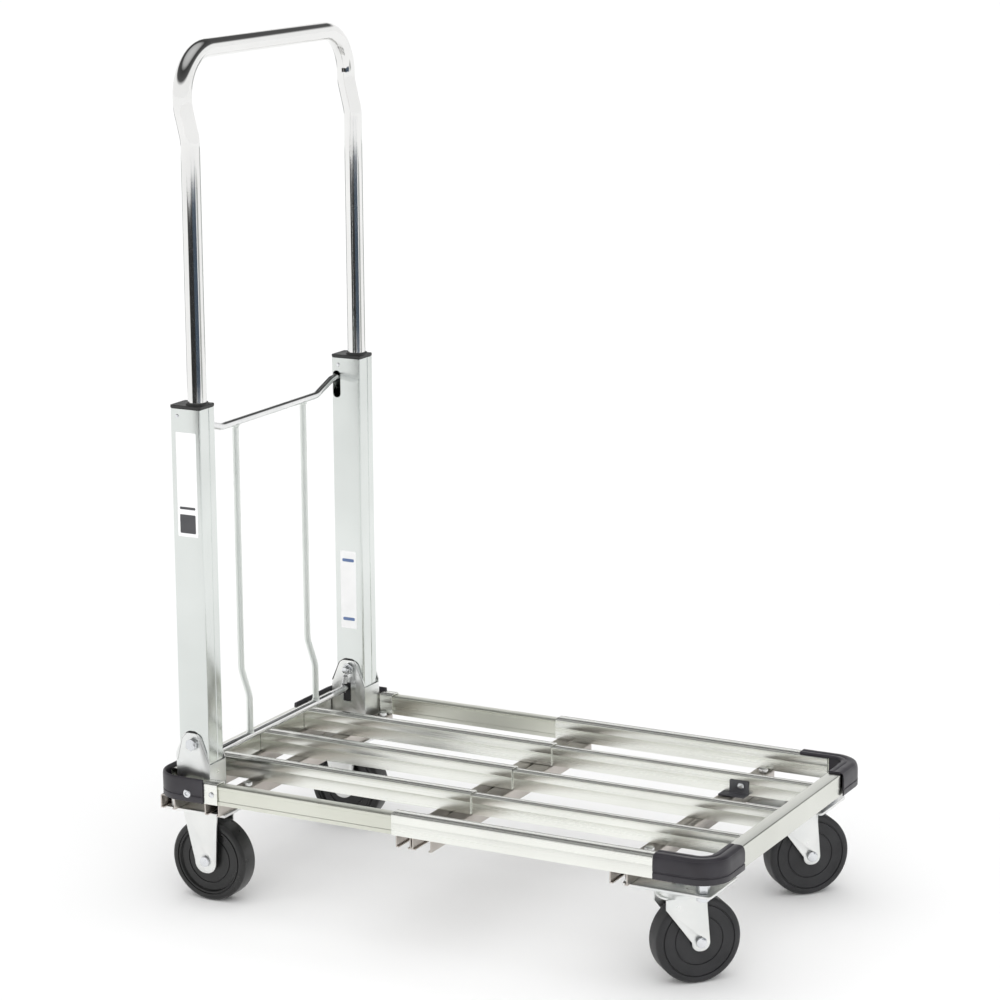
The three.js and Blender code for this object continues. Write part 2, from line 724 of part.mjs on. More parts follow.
for (const [side, sign] of SIDES) {
  const fixed = new THREE.Group();
  fixed.position.set(REAR_WHEEL_X, sign * CASTER_Y, WHEEL.radius);
  add(`caster_fork_rear_${side}`, rearFork(sign), zinc, fixed);
  add(`wheel_rear_${side}`, wheel(), tyre, fixed);
  add(`axle_bolt_rear_${side}`, axleBolt().scale([1, sign, 1]), zinc, fixed);
  cart.add(fixed);

  const mount = new THREE.Group();
  mount.position.set(SWIVEL_X, sign * CASTER_Y, 0);
  add(`caster_plate_${side}`, casterPlate(sign), zinc, mount);
  add(`caster_kingpin_${side}`, kingpin(), zinc, mount);
  cart.add(mount);

  const swivel = new THREE.Group();
  swivel.rotation.z = THREE.MathUtils.degToRad(REST_SWIVEL_DEG);
  add(`caster_fork_front_${side}`, swivelFork(), zinc, swivel);
  const hub = new THREE.Group();
  hub.position.set(TRAIL, 0, WHEEL.radius);
  add(`wheel_front_${side}`, wheel(), tyre, hub);
  add(`axle_bolt_front_${side}`, axleBolt().scale([1, -1, 1]), zinc, hub);
  swivel.add(hub);
  mount.add(swivel);

  const spacerAt = [SPACER.x, sign * SPACER.y];
  const spacer = join(
    hexagon('z', 14, PLATE.top + GAP, BUMPER.bottom - GAP, spacerAt),
    cylinder('z', 4, 108, PLATE.top + 1, spacerAt, 16),
    hexagon('z', 13, 108, PLATE.bottom - GAP, spacerAt),
  );
  add(`caster_spacer_${side}`, spacer, zinc);
}

// ---- Slat angle bracket ------------------------------------------------------------------------

const slatFace = SLAT_Y.left - FRONT_SLAT.width / 2 - GAP;
const angleBracket = join(
  box([238, 262], [slatFace - 1.5, slatFace], [CROSS_TOP + GAP, 152]),
  box([229, 262], [slatFace - 14, slatFace], [CROSS_TOP + GAP, CROSS_TOP + GAP + 1.5]),
  cylinder('y', 3, slatFace - 2.8, slatFace - 1, [253, 146], 12),
);
add('slat_angle_bracket', angleBracket, zinc);

export default cart;
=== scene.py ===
"""The visual model of the folding platform cart.

Lengths of the cart and the camera's place are written in millimetres. The studio round it is in metres.
"""

import math

import bmesh
import bpy
from mathutils import Matrix, Vector


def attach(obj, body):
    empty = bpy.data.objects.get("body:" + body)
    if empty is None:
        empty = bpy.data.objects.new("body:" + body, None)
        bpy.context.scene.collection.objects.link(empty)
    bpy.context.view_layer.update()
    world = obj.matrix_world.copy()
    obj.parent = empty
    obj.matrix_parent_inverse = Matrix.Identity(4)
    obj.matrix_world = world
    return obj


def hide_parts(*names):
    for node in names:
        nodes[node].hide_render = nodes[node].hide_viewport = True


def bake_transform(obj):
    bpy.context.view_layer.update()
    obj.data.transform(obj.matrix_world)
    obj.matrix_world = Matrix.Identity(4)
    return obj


MM = 0.001
SIDES = (("left", 1), ("right", -1))

# ---- Driving dimensions, as in the CAD model ---------------------------------------------------

DECK_TOP = 161
RAIL_BOTTOM = 135.3
OUTER_RAIL = {"in": 197, "out": 215, "wall": 1.6, "x0": -41, "x1": 320}
INNER_RAIL = {"in": 199, "out": 213, "x0": -327, "x1": 5, "top": 159}
RAIL_PANELS = {"low": 140, "rib": (146.2, 147.2), "high": 154, "depth": 0.5, "slope": 0.4}
RAIL_STOP = {"x0": -291, "x1": -273, "rivet_x": -280.5, "rivet_z": 147.4, "rivet_radius": 3.4}
SLAT_Y = {"left": 103, "middle": 0, "right": -103}
REAR_SLAT = {"width": 16, "wall": 1.5, "top": 161, "x0": -341.7, "x1": 4.7}
FRONT_SLAT = {"width": 12, "wall": 1.3, "top": 159, "x0": -41, "x1": 340}
END_HALF_LENGTH = {"rear": 182, "front": 175}
REAR_END = (-358.3, -342)
FRONT_END = (340.3, 358.3)
END_WALL = 1.6
BUMPER = {"out": 217.3, "end": 362, "top": 163.5, "bottom": 135.3, "radius": 35, "inner": 145, "x0": 284}
BUMPER_COVER = 20.0
BUMPER_BLOCK = {"inset": 2.5, "side": 16, "inner": 176}
REAR_BUMPER = {"top": 164.3, "wall": 3.4, "inner": 105, "x0": 291.6}
BUMPER_RIVET = {"x": -313, "z": 145.2, "radius": 5.0, "sunk": 0.1}
POST = {"x0": -334.5, "x1": -294.5, "in": 165, "out": 197, "z0": 166, "z1": 597, "wall": 1.5}
POST_Y = (POST["in"] + POST["out"]) / 2
POST_HALF = (POST["out"] - POST["in"]) / 2
POST_GROOVE = {"offset": 3, "half": 1.1, "floor_half": 0.6, "depth": 0.6}
POST_RIVET = {"x": -325, "z": 588.5, "radius": 2.4}
POST_SLOT = {"x": -327.5, "z0": 547, "z1": 581, "width": 10.6}
CAP = {"z0": 597.3, "z1": 601.2, "lip": 0.4, "collar": 603.7, "collar_radius": 13.2}
PIVOT = {"x": -315, "z": 200}
TUBE = {"radius": 11, "x": -307.5, "grip_x": -316.5, "z0": 520, "top": 1012}
HANDLE_BEND = {"start": 902, "end": 940, "radius": 58, "corner": 52}
ROD_RADIUS = 4.4
WIRE_RADIUS = 3.8
WIRE_Y = 76.5
UPPER_ROD = {
    "x": -323.5, "z": 560, "bend_y": 108, "end_x": -327.5, "end_z": 576.5, "reach": 180, "rise": 0.72,
}
LOWER_ROD = {
    "x": -313, "z": 178, "bend_y": 112, "end_x": -319, "end_z": 174.5, "reach": 162.5, "rise": 1.0,
}
ROD_BEND = {"radius": 40, "knee_y": 150, "knee_radius": 16, "end_round": 0.6}
WIRE_KINK = {"top": 259, "bottom": 227, "radius": 30}
SPRING_Y = 155
SPRING = {"turns": 10, "coil": 2.7, "wire": 0.7, "eye": 5.2, "hook": 4.5}
WHEEL = {"radius": 50, "width": 28, "hub": 32, "bore": 4.5, "tread_round": 4.6}
WEB_DEPTH = {"front": 1.2, "rear": 3.4}
CASTER_Y = 160
REAR_WHEEL_X = -314.5
SWIVEL_X = 291
TRAIL = 18
REST_SWIVEL = math.radians(46)
BRACKET_RIVET = {"x": 253, "z": 146, "radius": 4.2, "sheet": 1.8, "gap": 1.0}

# Pads round the ears of the post brackets: paths of (x, z) or (x, z, bend radius)
EAR_PADS = (
    ("outer", POST["out"] + 0.9,
     ((-336.4, 178), (-329.5, 205.5, 6), (-322, 214.0, 6), (-310, 214.0, 8), (-293.6, 179))),
    ("inner", POST["in"] - 0.9,
     ((-340.4, 182), (-330.0, 206, 6), (-323, 211.0, 6), (-309, 211.0, 8), (-293.6, 177))),
)
EAR_PAD_RADIUS = 0.85
# A dark sheet behind each bracket slot: painted shade, standing in for the shade inside the slot
SLOT_SHADE_SHEET = {"x0": -324, "x1": -314, "z0": 157, "z1": 180.5, "gap": 0.7, "back": 1.5}

# Blank films on the posts: a sheet and its bands, as (low z, high z)
FILM = 0.12
NEAR_STICKER = {"x": (-327.5, -300.5), "z": (448, 570), "bands": ((452, 474), (480, 483))}
FAR_STICKER = {"x": (-326.5, -304), "z": (252, 352), "bands": ((262, 266), (338, 342))}

# Camera: where it stands, which way it looks, and its lens on a 36 mm sensor
CAMERA_AT = (1663.4, -3191.2, 1300.1)
CAMERA_RIGHT = (0.88587, 0.46389, -0.00572)
CAMERA_FORWARD = (-0.45350, 0.86330, -0.22146)
CAMERA_LENS = 115.01

# Studio, in metres
FLOOR_REACH = 45.0
FLOOR_Z = -0.0005
FLOOR_COLOUR = (0.88, 0.88, 0.88)
CARD_FOOT = 0.002
CARD_HEIGHT = 0.5
WORLD_BRIGHT_TO = 0.34
WORLD_CEILING = ((0.46, 0.10), (0.75, 0.05), (0.86, 0.45), (1.0, 0.60))

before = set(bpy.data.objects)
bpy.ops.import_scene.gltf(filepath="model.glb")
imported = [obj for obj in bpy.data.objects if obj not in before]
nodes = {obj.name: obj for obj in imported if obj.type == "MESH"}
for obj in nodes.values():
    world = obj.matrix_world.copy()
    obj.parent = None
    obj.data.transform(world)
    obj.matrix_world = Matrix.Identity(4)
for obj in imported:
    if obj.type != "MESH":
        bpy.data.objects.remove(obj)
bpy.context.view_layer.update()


# ---- Materials ---------------------------------------------------------------------------------

# A noise texture's values lie mostly between these
NOISE_LOW = 0.3
NOISE_HIGH = 0.7


class Shader:
    """A principled material and the node helpers that its detail is built from."""

    def __init__(self, name, **values):
        self.material = bpy.data.materials.new(name)
        self.material.use_nodes = True
        self.tree = self.material.node_tree
        self.bsdf = self.tree.nodes["Principled BSDF"]
        for key, value in values.items():
            self.bsdf.inputs[key.replace("_", " ")].default_value = value

    def node(self, kind, **inputs):
        """A new node with the given values on its inputs."""
        made = self.tree.nodes.new(kind)
        for key, value in inputs.items():
            made.inputs[key].default_value = value
        return made

    def link(self, out, into):
        self.tree.links.new(out, into)

    def noise(self, scale, detail, stretch=(1, 1, 1)):
        """Noise fixed to the object, squeezed along each axis by the stretch."""
        where = self.node("ShaderNodeTexCoord")
        mapping = self.node("ShaderNodeMapping", Scale=stretch)
        noise = self.node("ShaderNodeTexNoise", Scale=scale, Detail=detail)
        self.link(where.outputs["Object"], mapping.inputs["Vector"])
        self.link(mapping.outputs["Vector"], noise.inputs["Vector"])
        return noise.outputs["Fac"]

    def spread(self, source, low, high):
        """Maps a noise onto the range from low to high."""
        ramp = self.node("ShaderNodeMapRange")
        ramp.inputs["From Min"].default_value = NOISE_LOW
        ramp.inputs["From Max"].default_value = NOISE_HIGH
        ramp.inputs["To Min"].default_value = low
        ramp.inputs["To Max"].default_value = high
        self.link(source, ramp.inputs["Value"])
        return ramp.outputs["Result"]

    def vary_roughness(self, source, low, high):
        self.link(self.spread(source, low, high), self.bsdf.inputs["Roughness"])

    def vary_colour(self, source, dark, light):
        ramp = self.node("ShaderNodeValToRGB")
        ramp.color_ramp.elements[0].position = NOISE_LOW
        ramp.color_ramp.elements[0].color = (*dark, 1)
        ramp.color_ramp.elements[1].position = NOISE_HIGH
        ramp.color_ramp.elements[1].color = (*light, 1)
        self.link(source, ramp.inputs["Fac"])
        self.link(ramp.outputs["Color"], self.bsdf.inputs["Base Color"])

    def bump(self, source, strength, distance):
        bump = self.node("ShaderNodeBump", Strength=strength, Distance=distance)
        self.link(source, bump.inputs["Height"])
        self.link(bump.outputs["Normal"], self.bsdf.inputs["Normal"])


def extruded_metal(name, stretch, dark, light, rough):
    """Drawn aluminium: fine lines along one direction and faint broad clouding."""
    shader = Shader(name, Metallic=1.0)
    lines = shader.noise(1.0, 6.0, stretch)
    shader.vary_roughness(lines, *rough)
    shader.vary_colour(shader.noise(9.0, 3.0), dark, light)
    shader.bump(lines, 0.02, 0.0001)
    return shader.material


def plated_metal(name, dark, light, rough, grain=60.0):
    """Plated steel: cloudy colour and gloss, with a faint unevenness."""
    shader = Shader(name, Metallic=1.0)
    shader.vary_colour(shader.noise(14.0, 5.0), dark, light)
    shader.vary_roughness(shader.noise(grain, 6.0), *rough)
    shader.bump(shader.noise(90.0, 3.0), 0.03, 0.0002)
    return shader.material


def moulded(name, dark, light, rough, grain, strength):
    """Plastic, rubber, paint or film, with a fine grain of the given size and strength."""
    shader = Shader(name)
    shader.vary_colour(shader.noise(30.0, 3.0), dark, light)
    shader.vary_roughness(shader.noise(55.0, 4.0), *rough)
    shader.bump(shader.noise(grain, 2.0), strength, 0.0003)
    return shader.material


# Noise stretched into lines along one axis
ALONG_X = (2, 500, 500)
ALONG_Y = (500, 2, 500)
ALONG_Z = (500, 500, 2)

# name, direction of the lines, darkest and lightest colour, roughness
deck_metal = extruded_metal(
    "deck_extrusion", ALONG_X, (0.85, 0.86, 0.81), (0.92, 0.93, 0.88), (0.24, 0.28))
inner_metal = extruded_metal(
    "inner_extrusion", ALONG_X, (0.66, 0.67, 0.59), (0.74, 0.75, 0.67), (0.27, 0.31))
end_metal = extruded_metal(
    "end_extrusion", ALONG_Y, (0.64, 0.65, 0.60), (0.72, 0.73, 0.68), (0.19, 0.22))
post_metal = extruded_metal(
    "post_extrusion", ALONG_Z, (0.68, 0.71, 0.69), (0.76, 0.79, 0.77), (0.15, 0.18))

# name, darkest and lightest colour, roughness
chrome = plated_metal("handle_chrome", (0.80, 0.80, 0.79), (0.86, 0.86, 0.85), (0.05, 0.09), 30.0)
bright_rod = plated_metal("bright_rod", (0.74, 0.75, 0.75), (0.86, 0.86, 0.86), (0.10, 0.18))
zinc = plated_metal("zinc_sheet", (0.77, 0.79, 0.78), (0.89, 0.89, 0.87), (0.27, 0.36))
wire_zinc = plated_metal("wire_zinc", (0.70, 0.74, 0.71), (0.80, 0.83, 0.80), (0.34, 0.42))
# Zinc for the cross members, darker and browner than zinc_sheet: painted shade and brown reflections of the
# space under the deck
cross_zinc_painted_shade = plated_metal("cross_zinc_painted_shade", (0.50, 0.46, 0.42), (0.64, 0.60, 0.56), (0.30, 0.42))
bolt_zinc = plated_metal("bolt_zinc", (0.68, 0.70, 0.72), (0.82, 0.83, 0.85), (0.16, 0.28))

# name, darkest and lightest colour, roughness, grain scale, grain strength
dark_plate = moulded(
    "dark_plate", (0.035, 0.035, 0.04), (0.06, 0.06, 0.065), (0.35, 0.5), 400.0, 0.05)
bumper_plastic = moulded(
    "bumper_plastic", (0.018, 0.016, 0.02), (0.028, 0.026, 0.032), (0.34, 0.46), 900.0, 0.06)
cap_plastic = moulded(
    "cap_plastic", (0.015, 0.015, 0.015), (0.024, 0.024, 0.024), (0.38, 0.5), 900.0, 0.06)
white_film = moulded(
    "sticker_white", (0.82, 0.82, 0.82), (0.88, 0.88, 0.88), (0.35, 0.45), 300.0, 0.02)
grey_film = moulded(
    "sticker_grey", (0.05, 0.05, 0.055), (0.07, 0.07, 0.075), (0.35, 0.45), 300.0, 0.02)
blue_film = moulded(
    "sticker_blue", (0.10, 0.16, 0.32), (0.12, 0.19, 0.36), (0.35, 0.45), 300.0, 0.02)
wheel_rubber = moulded(
    "wheel_rubber", (0.013, 0.013, 0.014), (0.022, 0.022, 0.024), (0.42, 0.58), 700.0, 0.1)
rear_rubber = moulded(
    "rear_rubber", (0.008, 0.008, 0.008), (0.013, 0.013, 0.013), (0.26, 0.36), 700.0, 0.05)


# ---- Mesh helpers ------------------------------------------------------------------------------

def place(mesh, name, material):
    piece = bpy.data.objects.new(name, mesh)
    bpy.context.scene.collection.objects.link(piece)
    mesh.materials.append(material)
    return piece


def soften(piece, bevel, angle):
    """Small rounded edges, and smooth shading everywhere else."""
    mesh = piece.data
    mesh.polygons.foreach_set("use_smooth", [True] * len(mesh.polygons))
    if bevel:
        edges = piece.modifiers.new("edges", "BEVEL")
        edges.width = bevel * MM
        edges.segments = 2
        edges.limit_method = "ANGLE"
        edges.angle_limit = math.radians(angle)
        edges.harden_normals = True
    else:
        mesh.set_sharp_from_angle(angle=math.radians(angle))
    return piece


def from_bmesh(work, name, material, bevel, angle=30):
    """Turns a finished bmesh into a placed object with sound faces."""
    bmesh.ops.remove_doubles(work, verts=work.verts, dist=1e-6)
    bmesh.ops.recalc_face_normals(work, faces=work.faces)
    mesh = bpy.data.meshes.new(name)
    work.to_mesh(mesh)
    work.free()
    return soften(place(mesh, name, material), bevel, angle)


def rounded(corners, steps):
    """Points of a closed outline whose corners are (u, v) or (u, v, radius)."""
    points = []
    for i, corner in enumerate(corners):
        here = Vector(corner[:2])
        radius = corner[2] if len(corner) > 2 else 0
        if not radius:
            points.append(here)
            continue
        back = (Vector(corners[i - 1][:2]) - here).normalized()
        on = (Vector(corners[(i + 1) % len(corners)][:2]) - here).normalized()
        half = back.angle(on) / 2
        centre = here + (back + on).normalized() * radius / math.sin(half)
        start = here + back * radius / math.tan(half) - centre
        end = here + on * radius / math.tan(half) - centre
        sweep = math.atan2(start.x * end.y - start.y * end.x, start.dot(end))
        for k in range(steps + 1):
            turn = Matrix.Rotation(sweep * k / steps, 2)
            points.append(centre + turn @ start)
    return points


def spot(axis, u, v, w):
    """A point from outline coordinates: [y, z] along x, [x, z] along y and [x, y] along z."""
    if axis == "x":
        return Vector((w, u, v)) * MM
    if axis == "y":
        return Vector((u, w, v)) * MM
    return Vector((u, v, w)) * MM


def extrusion(name, material, axis, corners, start, end, bevel=0.25, steps=6, angle=30):
    """A solid bar along an axis, from start to end, with an outline of corners as in rounded()."""
    work = bmesh.new()
    outline = rounded(corners, steps)
    rings = [[work.verts.new(spot(axis, p.x, p.y, w)) for p in outline] for w in (start, end)]
    count = len(outline)
    for i in range(count):
        j = (i + 1) % count
        work.faces.new((rings[0][i], rings[0][j], rings[1][j], rings[1][i]))
    work.faces.new(rings[0])
    work.faces.new(rings[1][::-1])
    return from_bmesh(work, name, material, bevel, angle)


def lathe(name, material, profile, centre, axis, sides):
    """Turns a closed profile of (radius, along) points round an axis through a centre."""
    work = bmesh.new()
    along = Vector(axis).normalized()
    first = along.orthogonal().normalized()
    second = along.cross(first)
    rings = []
    for k in range(sides):
        turn = 2 * math.pi * k / sides
        out = first * math.cos(turn) + second * math.sin(turn)
        rings.append([work.verts.new((Vector(centre) + out * r + along * a) * MM) for r, a in profile])
    for k in range(sides):
        here, after = rings[k], rings[(k + 1) % sides]
        for i in range(len(profile)):
            j = (i + 1) % len(profile)
            if profile[i][0] < 1e-6 and profile[j][0] < 1e-6:
                continue
            corners = [here[i], here[j], after[j], after[i]]
            if profile[i][0] < 1e-6:
                corners.pop(3)
            if profile[j][0] < 1e-6:
                corners.pop(2)
            work.faces.new(corners)
    return from_bmesh(work, name, material, 0)


def bent_path(corners, steps=10):
    """Points along a path of corners (x, y, z) or (x, y, z, bend radius)."""
    points = []
    for i, corner in enumerate(corners):
        here = Vector(corner[:3])
        if len(corner) < 4:
            points.append(here)
            continue
        back = (Vector(corners[i - 1][:3]) - here).normalized()
        on = (Vector(corners[i + 1][:3]) - here).normalized()
        half = back.angle(on) / 2
        radius = corner[3]
        centre = here + (back + on).normalized() * radius / math.sin(half)
        start = here + back * radius / math.tan(half) - centre
        axis = on.cross(back).normalized()
        sweep = math.pi - 2 * half
        for k in range(steps + 1):
            points.append(centre + Matrix.Rotation(sweep * k / steps, 3, axis) @ start)
    return points


def rounded_end(reach):
    """Shifts and scales of the rings that turn a bar's end over."""
    return [(reach * (1 - s), 1 - 0.45 * (1 - s) ** 2) for s in (0.75, 0.4, 0)]


def tube(name, material, points, radius, sides, round_ends=0.0):
    """A round bar along points, with turned-over ends where round_ends is given."""
    work = bmesh.new()
    path = [Vector(p) for p in points]
    first = (path[1] - path[0]).normalized()
    side = first.orthogonal().normalized()
    rings = []
    for i, here in enumerate(path):
        ahead = path[min(i + 1, len(path) - 1)] - here
        behind = here - path[max(i - 1, 0)]
        along = (ahead.normalized() + behind.normalized()).normalized()
        side = (side - along * side.dot(along)).normalized()
        other = along.cross(side)
        stations = [(0, 1)]
        if round_ends and i == 0:
            stations = rounded_end(-round_ends)[::-1] + stations
        if round_ends and i == len(path) - 1:
            stations += rounded_end(round_ends)
        for shift, scale in stations:
            centre = here + along * shift
            ring = []
            for k in range(sides):
                turn = 2 * math.pi * k / sides
                out = side * math.cos(turn) + other * math.sin(turn)
                ring.append(work.verts.new((centre + out * radius * scale) * MM))
            rings.append(ring)
    for near, far in zip(rings, rings[1:]):
        for k in range(sides):
            j = (k + 1) % sides
            work.faces.new((near[k], near[j], far[j], far[k]))
    work.faces.new(rings[0][::-1])
    work.faces.new(rings[-1])
    return from_bmesh(work, name, material, 0, 50)


def rivet(name, centre, axis, radius, height):
    """A domed head with a flat foot."""
    profile = [(0.0, 0.0), (radius, 0.0), (radius, 0.25 * height)]
    for k in range(1, 6):
        turn = math.pi / 2 * k / 6
        profile.append((radius * math.cos(turn), height * (0.25 + 0.75 * math.sin(turn))))
    profile.append((0.0, height))
    return lathe(name, bolt_zinc, profile, centre, axis, 32)


def merge(name, pieces):
    """Joins pieces that ride on one body into one object."""
    for piece in pieces:
        bpy.context.view_layer.objects.active = piece
        for modifier in list(piece.modifiers):
            bpy.ops.object.modifier_apply(modifier=modifier.name)
    bpy.ops.object.select_all(action="DESELECT")
    for piece in pieces:
        piece.select_set(True)
    bpy.context.view_layer.objects.active = pieces[0]
    bpy.ops.object.join()
    joined = bpy.context.view_layer.objects.active
    joined.name = name
    return joined


def refined(node, material):
    """The CAD node's own shape with small rounded edges."""
    work = bmesh.new()
    work.from_mesh(nodes[node].data)
    work.transform(nodes[node].matrix_world)
    bmesh.ops.remove_doubles(work, verts=work.verts, dist=2e-6)
    flat = math.radians(1)
    bmesh.ops.dissolve_limit(work, angle_limit=flat, verts=work.verts, edges=work.edges)
    return from_bmesh(work, node + "_sheet", material, 0.35, 25)


def finish_piece(piece, body, slot, *replaced):
    """Says which body a piece rides on and which CAD nodes it stands for. The slot is not used."""
    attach(piece, body)
    if replaced:
        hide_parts(*replaced)


# ---- Rails and slats ---------------------------------------------------------------------------

def channel(y0, y1, z0, z1, wall, radius, nick):
    """Outline of an upside-down channel with two fine lines along its top and one down each side."""
    inner = max(radius - wall, 0.4)
    low = z0 + 0.58 * (z1 - z0)
    return [
        (y0, z0), (y0, low - 0.5), (y0 + 0.12, low), (y0, low + 0.5), (y0, z1, radius),
        (y0 + radius + 0.3, z1), (y0 + radius + 0.7, z1 - nick), (y0 + radius + 1.1, z1),
        (y1 - radius - 1.1, z1), (y1 - radius - 0.7, z1 - nick), (y1 - radius - 0.3, z1),
        (y1, z1, radius), (y1, low + 0.5), (y1 - 0.12, low), (y1, low - 0.5), (y1, z0),
        (y1 - wall, z0), (y1 - wall, z1 - wall, inner), (y0 + wall, z1 - wall, inner), (y0 + wall, z0),
    ]


def mirrored(sign, low, high):
    """A span on the left side, or its mirror image on the right, in rising order."""
    return (low, high) if sign > 0 else (-high, -low)


def panel(y, depth, start, end):
    """A shallow panel sunk into a face at y, from one height to another."""
    slope = math.copysign(RAIL_PANELS["slope"], end - start)
    return [(y, start), (y + depth, start + slope), (y + depth, end - slope), (y, end)]


def inner_rail_outline(y0, y1, top):
    """Outline of an inner rail: one shallow panel on its low Y face and two on its high Y face."""
    low, high = RAIL_PANELS["low"], RAIL_PANELS["high"]
    rib_low, rib_high = RAIL_PANELS["rib"]
    depth = RAIL_PANELS["depth"]
    outline = [(y0, RAIL_BOTTOM)]
    outline += panel(y0, depth, low, high)
    outline += [(y0, top, 2.2), (y1, top, 2.2)]
    outline += panel(y1, -depth, high, rib_high)
    outline += panel(y1, -depth, rib_low, low)
    return outline + [(y1, RAIL_BOTTOM)]


for side, sign in SIDES:
    y0, y1 = mirrored(sign, OUTER_RAIL["in"], OUTER_RAIL["out"])
    outline = channel(y0, y1, RAIL_BOTTOM, DECK_TOP, OUTER_RAIL["wall"], 2.6, 0.2)
    rail = extrusion(f"outer_rail_{side}", deck_metal, "x", outline, OUTER_RAIL["x0"], OUTER_RAIL["x1"])
    finish_piece(rail, "front_frame", "deck_aluminium", f"rail_outer_{side}")

    collar = extrusion(f"stop_sleeve_{side}", deck_metal, "x", outline, RAIL_STOP["x0"], RAIL_STOP["x1"])
    rivet_at = (RAIL_STOP["rivet_x"], sign * OUTER_RAIL["out"], RAIL_STOP["rivet_z"])
    head = rivet(f"stop_rivet_{side}", rivet_at, (0, sign, 0), RAIL_STOP["rivet_radius"], 1.4)
    finish_piece(collar, "rear_frame", "deck_aluminium", f"rail_stop_{side}")
    finish_piece(head, "rear_frame", "fastener_zinc")

    y0, y1 = mirrored(sign, INNER_RAIL["in"], INNER_RAIL["out"])
    outline = inner_rail_outline(y0, y1, INNER_RAIL["top"])
    inner = extrusion(f"inner_rail_{side}", inner_metal, "x", outline, INNER_RAIL["x0"], INNER_RAIL["x1"])
    finish_piece(inner, "rear_frame", "deck_aluminium", f"rail_inner_{side}")

for which, y in SLAT_Y.items():
    for row, size, radius, body in (
        ("rear", REAR_SLAT, 2.4, "rear_frame"),
        ("front", FRONT_SLAT, 2.0, "front_frame"),
    ):
        half = size["width"] / 2
        outline = channel(y - half, y + half, RAIL_BOTTOM, size["top"], size["wall"], radius, 0.2)
        slat = extrusion(f"{row}_slat_{which}", deck_metal, "x", outline, size["x0"], size["x1"])
        finish_piece(slat, body, "deck_aluminium", f"slat_{row}_{which}")

for end_name, (x0, x1), body in (("rear", REAR_END, "rear_frame"), ("front", FRONT_END, "front_frame")):
    outline = [
        (x0, RAIL_BOTTOM), (x0, DECK_TOP, 2.0), (x1, DECK_TOP, 2.0), (x1, RAIL_BOTTOM),
        (x1 - END_WALL, RAIL_BOTTOM), (x1 - END_WALL, DECK_TOP - END_WALL),
        (x0 + END_WALL, DECK_TOP - END_WALL), (x0 + END_WALL, RAIL_BOTTOM),
    ]
    reach = END_HALF_LENGTH[end_name]
    rail = extrusion(f"end_channel_{end_name}", end_metal, "y", outline, -reach, reach)
    finish_piece(rail, body, "deck_aluminium", f"end_rail_{end_name}")


# ---- Corner bumpers ----------------------------------------------------------------------------

def bumper_path(start, inner):
    """Points round a corner with their outward directions, drawn for the front left."""
    out, end, radius = BUMPER["out"], BUMPER["end"], BUMPER["radius"]
    path = [(Vector((start, out)), Vector((0, 1)))]
    steps = 16
    for k in range(steps + 1):
        turn = math.pi / 2 * (1 - k / steps)
        way = Vector((math.cos(turn), math.sin(turn)))
        path.append((Vector((end - radius, out - radius)) + way * radius, way))
    path.append((Vector((end, inner)), Vector((1, 0))))
    return path


def moulding(name, path, section, forward, sign):
    """Carries a section of (outward, z) points along a path."""
    work = bmesh.new()
    rings = []
    for at, way in path:
        ring = []
        for outward, z in section:
            flat = at + way * outward
            ring.append(work.verts.new(Vector((forward * flat.x, sign * flat.y, z)) * MM))
        rings.append(ring)
    count = len(section)
    for near, far in zip(rings, rings[1:]):
        for i in range(count):
            j = (i + 1) % count
            work.faces.new((near[i], near[j], far[j], far[i]))
    work.faces.new(rings[0])
    work.faces.new(rings[-1][::-1])
    return from_bmesh(work, name, bumper_plastic, 0.0, 40)


def front_bumper(name, sign):
    """A rounded skin with two fine lines, over a block that fills the corner of the frame."""
    low = BUMPER["bottom"]
    top = BUMPER["top"]
    foot = DECK_TOP + 0.35
    section = [
        (-2.0, low), (-0.7, low), (-0.1, low + 0.8), (0.0, low + 7.0),
        (-0.9, low + 7.6), (-0.9, low + 8.6), (-0.1, low + 9.4),
        (-0.2, top - 8.0), (-1.0, top - 4.2), (-2.8, top - 1.4), (-5.2, top - 0.2), (-7.0, top),
        (-12.0, top), (-13.0, top - 0.5), (-14.0, top),
        (-BUMPER_COVER + 1.2, top), (-BUMPER_COVER, top - 0.9), (-BUMPER_COVER, foot), (-2.0, foot),
    ]
    skin = moulding(name, bumper_path(BUMPER["x0"], BUMPER["inner"]), section, 1, sign)
    out = BUMPER["out"] - BUMPER_BLOCK["inset"]
    end = BUMPER["end"] - BUMPER_BLOCK["inset"]
    radius = BUMPER["radius"] - BUMPER_BLOCK["inset"]
    step_y = out - BUMPER_BLOCK["side"]
    inner_y = BUMPER_BLOCK["inner"]
    side_x = OUTER_RAIL["x1"] + 1
    end_x = FRONT_END[0] - 0.8
    block = rounded([
        (side_x, step_y), (end_x, step_y, 2), (end_x, inner_y), (end, inner_y), (end, out, radius),
        (side_x, out),
    ], 12)
    corners = [(p.x, sign * p.y) for p in block]
    core = extrusion(name + "_core", bumper_plastic, "z", corners, low + 0.2, DECK_TOP + 0.5, 0.3)
    return merge(name, [skin, core])


def rear_bumper(name, sign):
    """An open band with a rounded lip and a fine line near its foot."""
    low = BUMPER["bottom"]
    top = REAR_BUMPER["top"]
    wall = REAR_BUMPER["wall"]
    section = [
        (-wall, low), (-0.7, low), (-0.1, low + 0.8), (0.0, low + 7.0),
        (-0.8, low + 7.5), (-0.8, low + 8.5), (-0.1, low + 9.2),
        (0.0, top - 4.0), (-0.3, top - 1.4), (-1.1, top - 0.3), (-1.7, top),
        (-wall + 0.5, top - 0.2), (-wall, top - 0.9),
    ]
    return moulding(name, bumper_path(REAR_BUMPER["x0"], REAR_BUMPER["inner"]), section, -1, sign)


